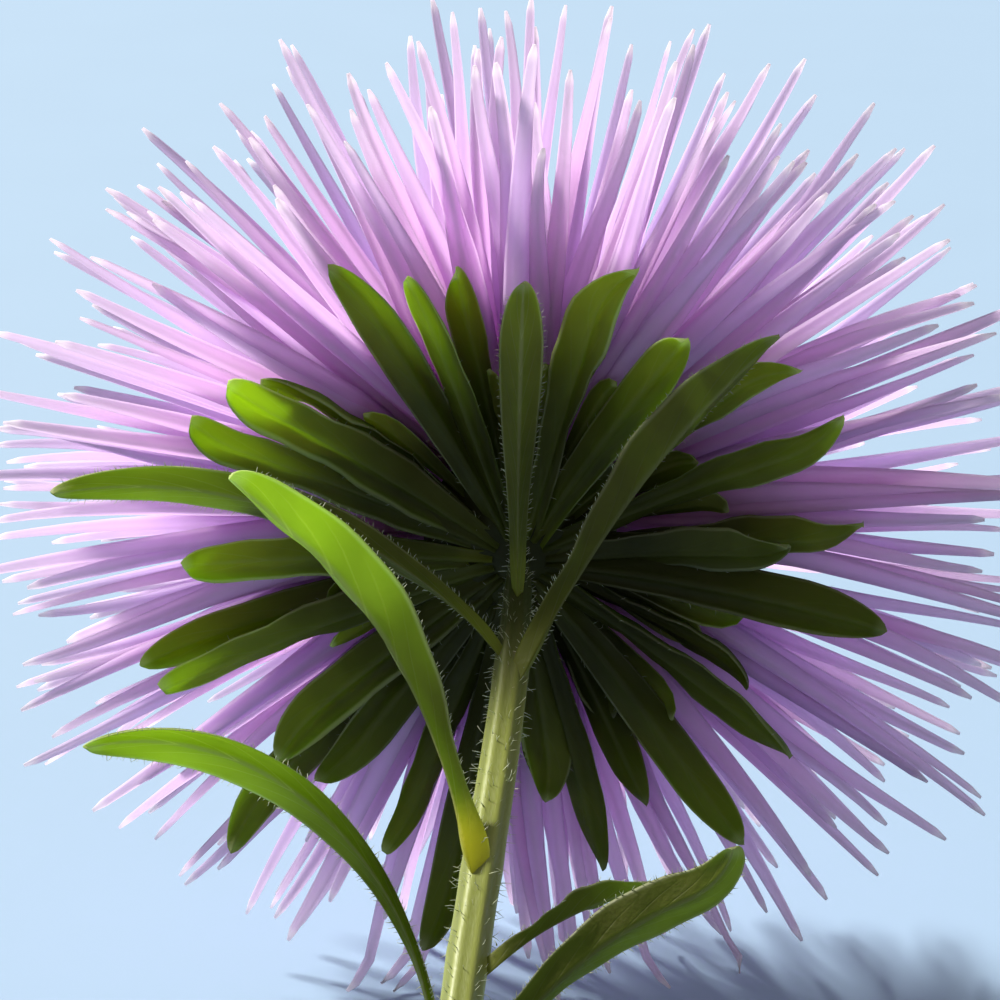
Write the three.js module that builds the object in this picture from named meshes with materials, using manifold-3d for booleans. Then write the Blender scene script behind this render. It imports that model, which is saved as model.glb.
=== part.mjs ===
// Giant ray China aster: one cut flower lying on a flat surface, in millimetres with +Z up.
// The stem runs along +Y from its cut end to the bloom. The bloom rests on the tips of its lowest rays.
import * as THREE from "three";
import { mergeVertices } from "three/addons/utils/BufferGeometryUtils.js";
import Module from "manifold-3d";

const wasm = await Module();
wasm.setup();

// Driving sizes
const BLOOM_RADIUS = 66;
const RING_HEIGHT = 64;
const BLOOM_TILT = 9;
const STEM_LENGTH = 240;
const STEM_END_TILT = 20.35;
const STEM_BOW = -6;
const STEM_RADIUS = 2.15;
const GAP = 0.3;

// Sizes that follow from them
const RING_DEPTH = 8;
const CORE_RADIUS = 0.182 * BLOOM_RADIUS;
const CORE_TOP = RING_DEPTH + CORE_RADIUS;
const CUP_TOP = RING_DEPTH - 0.5;
const CUP_RADIUS = CORE_RADIUS - 0.2;
const PEDUNCLE_RADIUS = 0.55 * STEM_RADIUS;
const DISC_RADIUS = 0.42 * CORE_RADIUS;

// Rays and disc florets
const RAY_COUNT = 252;
const RAY_WIDTH = 3.9;
const RAY_THICKNESS = 0.95;
const RAY_ROOT_DEPTH = 2.2;
const RAY_LOWEST = -12;
const RAY_HIGHEST = 74;
const RAY_CROWDING = 1.7;
const SEED = 4127;
const GOLDEN_ANGLE = 137.508;
const DISC_FLORETS = 34;

// Green blades
const BLADE_THICKNESS = 1.15;
const STEM_RIBS = 7;

const DEG = Math.PI / 180;
const X = new THREE.Vector3(1, 0, 0);
const vec = (x, y, z) => new THREE.Vector3(x, y, z);
const mix = (a, b, t) => a + (b - a) * t;
const clamp01 = (t) => Math.min(1, Math.max(0, t));

// The bloom's own axes: out of its face, and the side that lies uppermost.
const FACE = vec(0, Math.cos(BLOOM_TILT * DEG), Math.sin(BLOOM_TILT * DEG));
const TOP = vec(0, -FACE.z, FACE.y);
const RING = vec(0, 0, RING_HEIGHT);
const BLOOM_BASE = RING.clone().addScaledVector(FACE, -RING_DEPTH);

// Outward direction at an angle round an axis: 0 is +X and 90 is the upper side.
const around = (angle, top) =>
  X.clone()
    .multiplyScalar(Math.cos(angle * DEG))
    .addScaledVector(top, Math.sin(angle * DEG));

// A repeatable draw from -1 to 1.
let state = SEED;
function draw() {
  state = (state * 16807) % 2147483647;
  return (2 * state) / 2147483647 - 1;
}

// Solids
function solid(geometry) {
  const bare = geometry.clone();
  bare.deleteAttribute("normal");
  bare.deleteAttribute("uv");
  const merged = mergeVertices(bare, 1e-4);
  return new wasm.Manifold(
    new wasm.Mesh({
      numProp: 3,
      vertProperties: new Float32Array(merged.attributes.position.array),
      triVerts: new Uint32Array(merged.index.array),
    }),
  );
}

function geometryOf(manifold) {
  const mesh = manifold.getMesh();
  return new THREE.BufferGeometry()
    .setAttribute("position", new THREE.BufferAttribute(mesh.vertProperties, 3))
    .setIndex(new THREE.BufferAttribute(mesh.triVerts, 1));
}

// Fuses pieces into one body, and fills the small pockets closed in between them.
function fuse(pieces) {
  const skins = wasm.Manifold.union(pieces).simplify(0.02).decompose();
  const outer = skins.filter((skin) => skin.volume() > 0);
  return geometryOf(wasm.Manifold.union(outer));
}

// Moves each vertex of an upright unit cylinder or cone to place(t, x, z).
// t runs from 0 at its foot to 1 at its top.
function sweep(geometry, taper, place) {
  const position = geometry.attributes.position;
  for (let i = 0; i < position.count; i++) {
    const t = clamp01(position.getY(i) + 0.5);
    const radius = Math.max(1e-9, taper ? 1 - t : 1);
    const x = position.getX(i) / radius;
    const z = position.getZ(i) / radius;
    const tip = taper && t > 0.9999;
    const p = place(t, tip ? 0 : x, tip ? 0 : z);
    position.setXYZ(i, p.x, p.y, p.z);
  }
  return geometry;
}

// A spine is a list of frames along a curve: a point, a side and the normal that faces the plant's axis.
function frameAt(spine, t) {
  const place = clamp01(t) * (spine.length - 1);
  const low = Math.min(spine.length - 2, Math.floor(place));
  const share = place - low;
  const between = (name) =>
    spine[low][name].clone().lerp(spine[low + 1][name], share);
  return {
    point: between("point"),
    side: between("side").normalize(),
    normal: between("normal").normalize(),
  };
}

// Flattens whatever would pass through the surface that the flower lies on.
function onFloor(p) {
  p.z = Math.max(p.z, 0);
  return p;
}

// The stem's centre line: distance below the bloom to point, direction and upper side.
function stemAt(distance) {
  const step = 2;
  const point = BLOOM_BASE.clone();
  const tiltAt = (s) => mix(BLOOM_TILT, STEM_END_TILT, s / STEM_LENGTH) * DEG;
  for (let s = 0; s < distance - 1e-9; s += step) {
    const length = Math.min(step, distance - s);
    const tilt = tiltAt(s + length / 2);
    point.y -= length * Math.cos(tilt);
    point.z -= length * Math.sin(tilt);
  }
  point.x = STEM_BOW * Math.sin((Math.PI * distance) / STEM_LENGTH) ** 2;
  const tilt = tiltAt(distance);
  return {
    point,
    face: vec(0, Math.cos(tilt), Math.sin(tilt)),
    top: vec(0, -Math.sin(tilt), Math.cos(tilt)),
  };
}

// The stem narrows towards the bloom, with low ribs along it.
function stemRadius(distance, angle) {
  const narrowing = Math.exp(-distance / 16) * (STEM_RADIUS - PEDUNCLE_RADIUS);
  const rib = 0.045 * STEM_RADIUS * Math.sin(STEM_RIBS * angle);
  return STEM_RADIUS - narrowing + rib;
}

function stem() {
  return sweep(
    new THREE.CylinderGeometry(1, 1, 1, 2 * STEM_RIBS, 22),
    false,
    (t, x, z) => {
      const distance = STEM_LENGTH * (1 - t) ** 1.25;
      const { point, top } = stemAt(distance);
      const angle = Math.atan2(z, x);
      const radius = Math.hypot(x, z) * stemRadius(distance, angle);
      const p = point
        .addScaledVector(X, radius * Math.cos(angle))
        .addScaledVector(top, radius * Math.sin(angle));
      return onFloor(p);
    },
  );
}

// A leaf or bract leaves its axis at an angle that opens from start to end degrees along its length.
// It may turn sideways and roll.
function bladeSpine({ base, out, face, length, start, end, turn = 0, roll = 0 }) {
  const steps = 24;
  const across = face.clone().cross(out);
  const point = base.clone();
  const spine = [];
  for (let i = 0; i <= steps; i++) {
    const t = i / steps;
    const open = mix(start, end, t) * DEG;
    const aside = turn * t * DEG;
    const away = out
      .clone()
      .multiplyScalar(Math.cos(aside))
      .addScaledVector(across, Math.sin(aside));
    const direction = face
      .clone()
      .multiplyScalar(Math.cos(open))
      .addScaledVector(away, Math.sin(open));
    const side = away.clone().cross(face).normalize();
    side.applyAxisAngle(direction, roll * t * DEG);
    const normal = side.clone().cross(direction).normalize();
    spine.push({ point: point.clone(), side, normal });
    point.addScaledVector(direction, length / steps);
  }
  return spine;
}

// Share of the full width along a blade: a narrow foot, the widest place, then a blunt point.
function bladeOutline(t, foot, widest) {
  if (t < widest) return mix(foot, 1, Math.sin((Math.PI / 2) * (t / widest)) ** 1.9);
  return Math.cos((Math.PI / 2) * ((t - widest) / (1 - widest))) ** 0.5;
}

function blade(options) {
  const { width, foot = 0.32, widest = 0.64, fold = 16, wave = 0, teeth = 0, steps = 8 } = options;
  const spine = options.spine ?? bladeSpine(options);
  const cone = new THREE.ConeGeometry(1, 1, 4, steps);
  return sweep(cone, true, (t, x, z) => {
    const along = 1 - (1 - t) ** 1.5;
    const { point, side, normal } = frameAt(spine, along);
    const edge = Math.round(x);
    const face = Math.round(z);
    const toothed = 1 + teeth * Math.cos(Math.PI * steps * t) * Math.sin(Math.PI * along);
    const half = (width / 2) * bladeOutline(along, foot, widest) * toothed;
    const thick = BLADE_THICKNESS * mix(1, 0.75, along);
    const rise = half * Math.sin(fold * DEG) + wave * Math.sin(9 * along + 2 * edge);
    return point
      .addScaledVector(side, edge * half * Math.cos(fold * DEG))
      .addScaledVector(normal, Math.abs(edge) * rise + (face * thick) / 2);
  });
}

// Long leafy bracts as they stand round the bloom, seen from behind.
// Each has its angle, length, width and whorl, 0 for the lowest and 1 for the upper.
const LONG_BRACTS = [
  [116, 42, 5.8, 0],
  [107, 37, 5.6, 0],
  [101, 32, 4.4, 1],
  [76, 40, 5.8, 0],
  [59, 34, 6.2, 0],
  [42, 34, 4.8, 1],
  [27, 39, 6.2, 0],
  [5, 28, 7.0, 0],
  [4, 33, 5.4, 1],
  [-8, 40, 6.6, 0],
  [-30, 25, 5.0, 1],
  [-37, 37, 6.6, 0],
  [-54, 42, 6.4, 0],
  [-66, 30, 5.0, 1],
  [-76, 39, 6.6, 0],
  [-82, 28, 6.2, 0],
  [-101, 50, 6.2, 0],
  [-110, 37, 6.0, 1],
  [-128, 34, 6.2, 0],
  [-133, 47, 6.4, 1],
  [-141, 35, 6.6, 0],
  [-160, 42, 6.0, 0],
  [-163, 40, 5.6, 1],
  [178, 37, 5.4, 0],
  [153, 40, 5.4, 0],
  [143, 38, 6.2, 0],
  [139, 30, 4.6, 1],
];
const SHORT_BRACTS = 22;

// The green cup under the bloom, which carries every bract.
function cup() {
  const profile = [
    [0, GAP],
    [PEDUNCLE_RADIUS, GAP],
    [0.5 * CUP_RADIUS, 0.12 * RING_DEPTH],
    [0.76 * CUP_RADIUS, 0.4 * RING_DEPTH],
    [0.94 * CUP_RADIUS, 0.7 * RING_DEPTH],
    [CUP_RADIUS, CUP_TOP],
    [0, CUP_TOP],
  ];
  return onBloom(profile, 20);
}

// A turned shape on the bloom's axis, from (radius, height above the bloom's base) points.
function onBloom(profile, segments) {
  const points = profile.map(([r, w]) => new THREE.Vector2(r, w));
  return new THREE.LatheGeometry(points, segments).applyMatrix4(
    new THREE.Matrix4()
      .makeBasis(X, FACE, TOP)
      .setPosition(BLOOM_BASE),
  );
}

const onAxis = (radius, angle, height) =>
  BLOOM_BASE.clone()
    .addScaledVector(FACE, height)
    .addScaledVector(around(angle, TOP), radius);

function longBract([angle, length, width, whorl]) {
  return blade({
    base: onAxis(mix(3.2, 7, whorl), angle, mix(1.1, 3.1, whorl)),
    out: around(angle, TOP),
    face: FACE,
    length: length + 2,
    start: mix(88, 86, whorl),
    end: mix(107, 103, whorl),
    roll: 14 * draw(),
    width,
    fold: 13 + 5 * draw(),
    wave: 0.25,
  });
}

function shortBract(index) {
  const angle = (index + 0.3 * draw()) * (360 / SHORT_BRACTS);
  return blade({
    base: onAxis(8.6, angle, 4.8),
    out: around(angle, TOP),
    face: FACE,
    length: 17 + 3 * draw(),
    start: 86,
    end: 103,
    turn: 8 * draw(),
    width: 3.6,
    fold: 10,
    widest: 0.75,
    steps: 4,
  });
}

function involucre() {
  const blades = [
    ...LONG_BRACTS.map(longBract),
    ...Array.from({ length: SHORT_BRACTS }, (_, i) => shortBract(i)),
  ];
  return fuse([cup(), ...blades].map(solid));
}

// The core under the rays, from which they all grow.
function core() {
  const profile = [
    [0, CUP_TOP + GAP],
    [CORE_RADIUS - 0.8, CUP_TOP + GAP],
    [CORE_RADIUS, CUP_TOP + 1.2],
    [0.97 * CORE_RADIUS, mix(CUP_TOP, CORE_TOP, 0.3)],
    [0.84 * CORE_RADIUS, mix(CUP_TOP, CORE_TOP, 0.65)],
    [0.66 * CORE_RADIUS, mix(CUP_TOP, CORE_TOP, 0.88)],
    [0.52 * CORE_RADIUS, CORE_TOP],
    [0, CORE_TOP],
  ];
  return onBloom(profile, 18);
}

// Where a ray stands and how it grows, from the outermost (order 0) to the innermost (order 1).
function rayShape(index) {
  const order = (index + 0.5) / RAY_COUNT;
  const rank = order ** RAY_CROWDING;
  const lift = mix(RAY_LOWEST, RAY_HIGHEST, rank) + mix(2, 5, rank) * draw();
  const shrink = clamp01((lift - 8) / 66) ** 1.5;
  return {
    angle: index * GOLDEN_ANGLE + 2.5 * draw(),
    lift,
    foot: mix(7, 56, rank),
    reach: BLOOM_RADIUS * (1 - 0.44 * shrink) * (1 + 0.045 * draw()),
    arch: mix(-7, 12, rank) + 5 * draw(),
    turn: 7 * draw(),
    roll: 34 * draw(),
    width: RAY_WIDTH * (1 - 0.25 * rank) * (1 + 0.14 * draw()),
  };
}

// A ray grows straight out of the core, arches a little and lies along the surface where it meets it.
function raySpine({ angle, lift, foot, reach, arch, turn, roll }) {
  const steps = 30;
  const rest = 0.5 * RAY_THICKNESS;
  const out = around(angle, TOP);
  const across = FACE.clone().cross(out);
  const point = BLOOM_BASE.clone()
    .addScaledVector(FACE, RING_DEPTH + (CORE_RADIUS - RAY_ROOT_DEPTH) * Math.sin(foot * DEG))
    .addScaledVector(out, (CORE_RADIUS - RAY_ROOT_DEPTH) * Math.cos(foot * DEG));
  const length = reach - CORE_RADIUS + RAY_ROOT_DEPTH;
  const spine = [];
  for (let i = 0; i <= steps; i++) {
    const t = i / steps;
    const up = (lift + arch * (t - 0.5)) * DEG;
    const aside = turn * t * DEG;
    const direction = out
      .clone()
      .multiplyScalar(Math.cos(up) * Math.cos(aside))
      .addScaledVector(across, Math.cos(up) * Math.sin(aside))
      .addScaledVector(FACE, Math.sin(up));
    const steepest = -Math.max(0, point.z - rest) / 6;
    if (direction.z < steepest) {
      const push = lift < -5 ? -0.25 : 0.25;
      const level = Math.hypot(direction.x, direction.y + push);
      const keep = Math.sqrt(1 - steepest * steepest) / level;
      direction.set(direction.x * keep, (direction.y + push) * keep, steepest);
    }
    const laid = clamp01(1 - (point.z - rest) / 8);
    const side = direction.clone().cross(FACE).normalize();
    side.applyAxisAngle(direction, roll * (0.3 + 0.7 * t) * (1 - laid) * DEG);
    const flat = direction.clone().cross(vec(0, 0, 1)).normalize();
    side.lerp(flat.multiplyScalar(Math.sign(flat.dot(side)) || 1), laid).normalize();
    const normal = side.clone().cross(direction).normalize();
    spine.push({ point: point.clone(), side, normal });
    point.addScaledVector(direction, length / steps);
  }
  return spine;
}

// Share of a ray's full width: a narrow tube at the core, then a long taper to a blunt tip.
function rayOutline(t) {
  if (t < 0.42) return mix(0.36, 1, Math.sin((Math.PI / 2) * (t / 0.42)));
  const blunt = Math.sqrt(1 - 0.5 * clamp01((t - 0.9) / 0.1) ** 2);
  return mix(1, 0.42, ((t - 0.42) / 0.58) ** 1.25) * blunt;
}

// Three-sided: two edges and a keel on the back of the ray.
function ray(index) {
  const shape = rayShape(index);
  const spine = raySpine(shape);
  return sweep(new THREE.CylinderGeometry(1, 1, 1, 3, 4), false, (t, x, z) => {
    const along = 1 - (1 - t) ** 1.6;
    const { point, side, normal } = frameAt(spine, along);
    const half = (shape.width / 2) * rayOutline(along);
    const thick = RAY_THICKNESS * mix(1, 0.8, along);
    point
      .addScaledVector(side, (-x / Math.cos(30 * DEG)) * half)
      .addScaledVector(normal, -z * thick * 0.6);
    return onFloor(point);
  });
}

function rays() {
  const blades = Array.from({ length: RAY_COUNT }, (_, i) => ray(i));
  return fuse([core(), ...blades].map(solid));
}

// The small disc of tube florets in the middle of the bloom's face.
function disc() {
  const low = CORE_TOP + GAP;
  const profile = [
    [0, low],
    [DISC_RADIUS, low],
    [0.92 * DISC_RADIUS, low + 1.1],
    [0, low + 1.8],
  ];
  const florets = Array.from({ length: DISC_FLORETS }, (_, i) => {
    const spread = Math.sqrt((i + 0.5) / DISC_FLORETS);
    const height = 3.1 - 0.9 * spread + 0.2 * draw();
    const lean = 16 * spread;
    const floret = new THREE.CylinderGeometry(0.52, 0.3, height, 5);
    return floret
      .translate(0, height / 2, 0)
      .rotateZ(-lean * DEG)
      .translate(0.86 * DISC_RADIUS * spread, low + 0.5, 0)
      .rotateY(i * GOLDEN_ANGLE * DEG)
      .applyMatrix4(
        new THREE.Matrix4().makeBasis(X, FACE, TOP).setPosition(BLOOM_BASE),
      );
  });
  return fuse([onBloom(profile, 14), ...florets].map(solid));
}

// Stem leaves: distance below the bloom, angle round the stem, length, width and opening angles.
const LEAVES = {
  leaf_top: {
    below: 7, angle: 90, length: 37.5, width: 5.8,
    start: 78, end: 92, turn: 2, widest: 0.76,
  },
  leaf_upper_right: {
    below: 24.4, angle: 51.5, length: 48.3, width: 7.8,
    start: 44, end: 94, turn: 5, roll: -20,
  },
  leaf_upper_left: {
    below: 19, angle: 146, length: 57, width: 5.6,
    start: 60, end: 125, turn: -26, roll: 20,
  },
  leaf_broad: {
    below: 61, angle: 114, length: 50.5, width: 8.8,
    start: 28, end: 108, turn: -26, roll: 20, fold: 26,
  },
  leaf_small: {
    below: 75, angle: 13, length: 18, width: 4.2,
    start: 52, end: 82, roll: 20,
  },
  leaf_arching: {
    below: 91, angle: 116, length: 54.6, width: 5.6,
    start: 25, end: 132, turn: -48, roll: 20,
  },
  leaf_low_right: {
    below: 95, angle: 43, length: 36, width: 7,
    start: 50, end: 99, turn: 22, roll: -20,
  },
  leaf_toothed_left: {
    below: 146, angle: 168, length: 60, width: 13,
    start: 50, end: 96, turn: 6, teeth: 0.14, steps: 12,
  },
  leaf_toothed_right: {
    below: 176, angle: 14, length: 64, width: 15,
    start: 48, end: 94, turn: -6, teeth: 0.14, steps: 12,
  },
};

function leaf(options) {
  const { point, face, top } = stemAt(options.below);
  const out = around(options.angle, top);
  const seat = stemRadius(options.below, 0) + GAP + BLADE_THICKNESS / 2;
  return blade({
    foot: 0.3,
    widest: 0.62,
    wave: 0.5,
    ...options,
    base: point.addScaledVector(out, seat),
    out,
    face,
  });
}

const finish = (color, roughness) =>
  new THREE.MeshStandardMaterial({ color, roughness, metalness: 0, flatShading: true });
const LILAC = finish(0xc79fd6, 0.6);
const YELLOW = finish(0xd9c24a, 0.7);
const GREEN = finish(0x4f7327, 0.55);
const STEM_GREEN = finish(0x7e8b3a, 0.5);

const flower = new THREE.Group();
function add(name, geometry, material) {
  const mesh = new THREE.Mesh(geometry, material);
  mesh.name = name;
  flower.add(mesh);
}

add("stem", stem(), STEM_GREEN);
add("involucre", involucre(), GREEN);
add("ray_florets", rays(), LILAC);
add("disc_florets", disc(), YELLOW);
for (const [name, options] of Object.entries(LEAVES)) {
  add(name, leaf(options), GREEN);
}

// The origin is under the middle of the whole flower, on the surface that it lies on.
const bounds = new THREE.Box3().setFromObject(flower);
const middle = bounds.getCenter(new THREE.Vector3());
flower.position.set(-middle.x, -middle.y, -bounds.min.z);

export default flower;
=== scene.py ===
"""A giant ray China aster, cut and laid down: petals, bracts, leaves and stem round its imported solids."""

import math
from types import SimpleNamespace

import bmesh
import bpy
from mathutils import Matrix, Vector


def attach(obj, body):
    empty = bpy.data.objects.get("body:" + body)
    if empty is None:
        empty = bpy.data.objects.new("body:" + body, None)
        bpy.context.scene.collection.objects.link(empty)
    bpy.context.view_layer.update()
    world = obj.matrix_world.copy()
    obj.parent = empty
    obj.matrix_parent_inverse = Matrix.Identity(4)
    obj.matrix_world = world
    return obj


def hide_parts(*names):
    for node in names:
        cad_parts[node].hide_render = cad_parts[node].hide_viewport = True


bl_info = {
    "name": "Giant Ray China Aster",
    "version": (1, 0, 0),
    "blender": (4, 5, 0),
    "location": "View3D > Sidebar > Aster",
    "description": "Builds a cut China aster that lies on a pale floor",
    "category": "Add Mesh",
}

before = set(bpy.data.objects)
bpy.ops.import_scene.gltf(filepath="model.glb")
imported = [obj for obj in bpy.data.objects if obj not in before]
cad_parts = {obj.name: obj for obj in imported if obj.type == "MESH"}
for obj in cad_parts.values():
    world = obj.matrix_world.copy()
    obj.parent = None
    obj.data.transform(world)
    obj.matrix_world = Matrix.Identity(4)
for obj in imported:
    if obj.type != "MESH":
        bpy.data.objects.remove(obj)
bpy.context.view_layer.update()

# Sizes are in millimetres and angles in degrees. The seed starts every random draw.
MM = 0.001
SEED = 4127
GOLDEN_ANGLE = 137.508

# Bloom
BLOOM_TILT = 9
RING_DEPTH = 8
GAP = 0.3
SHORT_BRACTS = 22
DISC_FLORETS = 64
FLORET_WIDTHS = (0.26, 0.26, 0.36, 0.6, 0.2)
FLORET_HEIGHTS = (0.0, 0.5, 0.8, 1.0, 0.8)

# Stem
STEM_END_TILT = 20.35
STEM_BOW = -6
STEM_RIBS = 7
RIB_DEPTH = 0.045
NECK_LENGTH = 16
INTO_CUP = 0.8
SCAR_HEIGHT = 0.12
SCAR_LENGTH = 2.5

# Ray florets
RAY_THICKNESS = 0.95
RAY_ROOT_DEPTH = 2.2
RAY_LOWEST = -12
RAY_HIGHEST = 74
RAY_CROWDING = 1.7
RAY_WIDEST = 0.38
RAY_END_WIDTH = 0.29
BETWEEN_RAYS = 176
INNER_RAYS = 34
LEVELLING_HEIGHT = 8

# Leaves and bracts
BLADE_THICKNESS = 1.15
MIDRIB_WIDTH = 0.5
SOFT_FOLD = 0.1
CURL_FROM = 0.45
TOOTH_SPACING = 1.5
TEETH = 12

# A leaf's foot: its pinch, how far it sinks into the stem and slides down it, and the length of that
FOOT_PINCH = 0.35
FOOT_SINK = 1.7
FOOT_SLIDE = 2.6
FOOT_LENGTH = 1.8
SINK_LENGTH = 1.6
CLASP_LENGTH = 4

# Hairs
HAIR_RADIUS = 0.05
BRISTLE_RADIUS = 0.1
STEM_HAIRS = 1200
LEAF_HAIRS_PER_MM = 1.7
BRACT_HAIRS_PER_MM = 0.3

# The camera's side turn, height angle, distance in millimetres, and the bloom's place in the picture.
VIEW_TURN = 1.1
VIEW_HEIGHT = 21
VIEW_DISTANCE = 450
VIEW_SCALE = 0.122
PICTURE_SIZE = 1000
RING_IN_PICTURE = (520, 530)
SENSOR = 36

# Lights: the directions that they come from, their powers, and the fill light's distance and size in metres.
KEY_FROM = Vector((-0.6, 0.46, 0.68))
KEY_SPREAD = 9
KEY_POWER = 7.3
FILL_FROM = Vector((0.55, -1.0, 0.5))
FILL_DISTANCE = 1.8
FILL_SIZE = 1.2
FILL_POWER = 1.0
ROOM_POWER = 0.35
FLOOR_RADIUS = 25

# Tints that no setting changes
PETAL_POINT = (0.97, 0.95, 0.96, 1.0)
PETAL_LIGHT = (1.0, 0.88, 0.99, 1.0)
BLADE_RIM = (0.62, 0.64, 0.36, 1.0)
MIDRIB_LIGHT = (0.3, 0.42, 0.05, 1.0)
VEIN_LIGHT = (0.8, 1.0, 0.35, 1.0)
# Painted sunlight: the yellow foot of a leaf in full light, on its surface and in the light through it
PAINTED_SUNLIT_FOOT = (0.62, 0.6, 0.05, 1.0)
PAINTED_SUNLIT_FOOT_GLOW = (1.0, 0.95, 0.12, 1.0)
# Painted shade on the stem's neck, under the bloom
PAINTED_NECK_SHADE = (0.04, 0.052, 0.011, 1.0)
STEM_PITH = (0.62, 0.68, 0.42, 1.0)
DISC_RIM = (0.85, 0.72, 0.07, 1.0)
DISC_FOOT = (0.55, 0.43, 0.05, 1.0)
DISC_FLECK = (0.85, 0.55, 0.04, 1.0)
HAIR_ROOT = (0.45, 0.5, 0.2, 1.0)
KEY_COLOUR = (1.0, 0.97, 0.9)
FILL_COLOUR = (1.0, 0.9, 0.9)
ROOM_COLOUR = (1.0, 0.95, 0.97, 1.0)

# The bloom's own axes: out of its face, and the side that lies uppermost.
RIGHT = Vector((1, 0, 0))
FACE = Vector((0, math.cos(math.radians(BLOOM_TILT)), math.sin(math.radians(BLOOM_TILT))))
TOP = RIGHT.cross(FACE)

# Long bracts: angle round the bloom, length, width, and whorl, 0 for the outer and 1 for the inner.
LONG_BRACTS = [
    (116, 42, 5.8, 0),
    (107, 37, 5.6, 0),
    (101, 32, 4.4, 1),
    (76, 40, 5.8, 0),
    (59, 34, 6.2, 0),
    (42, 34, 4.8, 1),
    (27, 39, 6.2, 0),
    (5, 28, 7.0, 0),
    (4, 33, 5.4, 1),
    (-8, 40, 6.6, 0),
    (-30, 25, 5.0, 1),
    (-37, 37, 6.6, 0),
    (-54, 42, 6.4, 0),
    (-66, 30, 5.0, 1),
    (-76, 39, 6.6, 0),
    (-82, 28, 6.2, 0),
    (-101, 50, 6.2, 0),
    (-110, 37, 6.0, 1),
    (-128, 34, 6.2, 0),
    (-133, 47, 6.4, 1),
    (-141, 35, 6.6, 0),
    (-160, 42, 6.0, 0),
    (-163, 40, 5.6, 1),
    (178, 37, 5.4, 0),
    (153, 40, 5.4, 0),
    (143, 38, 6.2, 0),
    (139, 30, 4.6, 1),
]

# A blade's habit, unless its own says otherwise. Foot is a share of its width, widest one of its length.
# Turn and roll grow along the whole blade, tuck over its first quarter, hook and swerve over its last.
# Curl bends its left and right margin. Shade is painted light, from 0 for a blade painted as shaded to 1 for
# one painted as sunlit.
PLAIN_BLADE = dict(
    foot=0.3, widest=0.62, waist=1.9, blunt=0.5, wave=0.5, turn=0, roll=0, tuck=0, hook=0, swerve=0,
    curl=(0, 0), fold=16, teeth=0, clasp=0, seated=0, shade=0.5, rings=44,
)

# A stem leaf folds deeper than a bract, may swell, and flares where it clasps the stem.
LEAF_HABIT = dict(seated=1, crease=1.7, swollen=1, flare=0.05)

# Leaves: distance below the bloom, angle round the stem, length, width, opening angles and habit. Each
# leaf's shade paints it as lit or shaded.
LEAVES = {
    "leaf_top": dict(
        below=7, angle=90, length=37.5, width=5.8, start=78, end=92, turn=2, widest=0.76, shade=0.4,
    ),
    "leaf_upper_right": dict(
        below=24.4, angle=51.5, length=48.3, width=7.8, start=44, end=94, turn=5, roll=-20, tuck=40,
        crease=2.3, shade=0.2,
    ),
    "leaf_upper_left": dict(
        below=19, angle=146, length=57, width=5.6, start=60, end=125, turn=-26, roll=20, shade=0.4,
    ),
    "leaf_broad": dict(
        below=61, angle=114, length=50.5, width=8.8, start=28, end=108, turn=-26, roll=20, fold=26,
        tuck=-32, foot=0.24, widest=0.67, swollen=1.15, crease=1.4, waist=4, hook=-15, swerve=8,
        curl=(0, -0.9), flare=0.16, shade=1,
    ),
    "leaf_small": dict(
        below=75, angle=13, length=18, width=4.2, start=52, end=82, roll=20, swollen=0.8, shade=0,
    ),
    "leaf_arching": dict(
        below=91, angle=116, length=54.6, width=5.6, start=25, end=132, turn=-48, roll=20, tuck=12,
        foot=0.22, widest=0.68, swollen=0.98, crease=1, waist=3, curl=(1.6, 0), shade=0.6,
    ),
    "leaf_low_right": dict(
        below=95, angle=43, length=36, width=7, start=50, end=99, turn=22, roll=-20, foot=0.4,
        swollen=0.85, hook=-10, swerve=-66, blunt=0.4, shade=0,
    ),
    "leaf_toothed_left": dict(
        below=146, angle=168, length=60, width=13, start=50, end=96, turn=6, teeth=0.14, rings=84,
    ),
    "leaf_toothed_right": dict(
        below=176, angle=14, length=64, width=15, start=48, end=94, turn=-6, teeth=0.14, rings=84,
    ),
}


def mix(low, high, share):
    return low + (high - low) * share


def clamp01(value):
    return min(1.0, max(0.0, value))


def turned(angle):
    """Cosine and sine of an angle in degrees."""
    return math.cos(math.radians(angle)), math.sin(math.radians(angle))


class Draw:
    """Repeatable draws from -1 to 1."""

    def __init__(self, seed):
        self.state = seed

    def __call__(self):
        self.state = self.state * 16807 % 2147483647
        return 2 * self.state / 2147483647 - 1


def length_setting(label, about, default):
    return bpy.props.FloatProperty(name=label, description=about, default=default, unit="LENGTH")


def colour_setting(label, about, default):
    return bpy.props.FloatVectorProperty(name=label, description=about, default=default, subtype="COLOR")


class AsterSizes(bpy.types.PropertyGroup):
    """Sizes that shape the flower."""

    bloom_radius: length_setting("Bloom Radius", "From the bloom's middle to its ray tips", 0.066)
    ring_height: length_setting("Bloom Height", "Height of the bloom's middle over the floor", 0.064)
    stem_length: length_setting("Stem Length", "From the bloom to the cut end", 0.24)
    stem_radius: length_setting("Stem Radius", "Radius of the stem below the bloom", 0.00215)
    ray_width: length_setting("Ray Width", "Widest part of a ray floret", 0.0039)
    ray_count: bpy.props.IntProperty(name="Rays", description="Number of ray florets", default=252, min=20)
    hair_length: length_setting("Hair Length", "Mean length of the white hairs", 0.0009)


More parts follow.
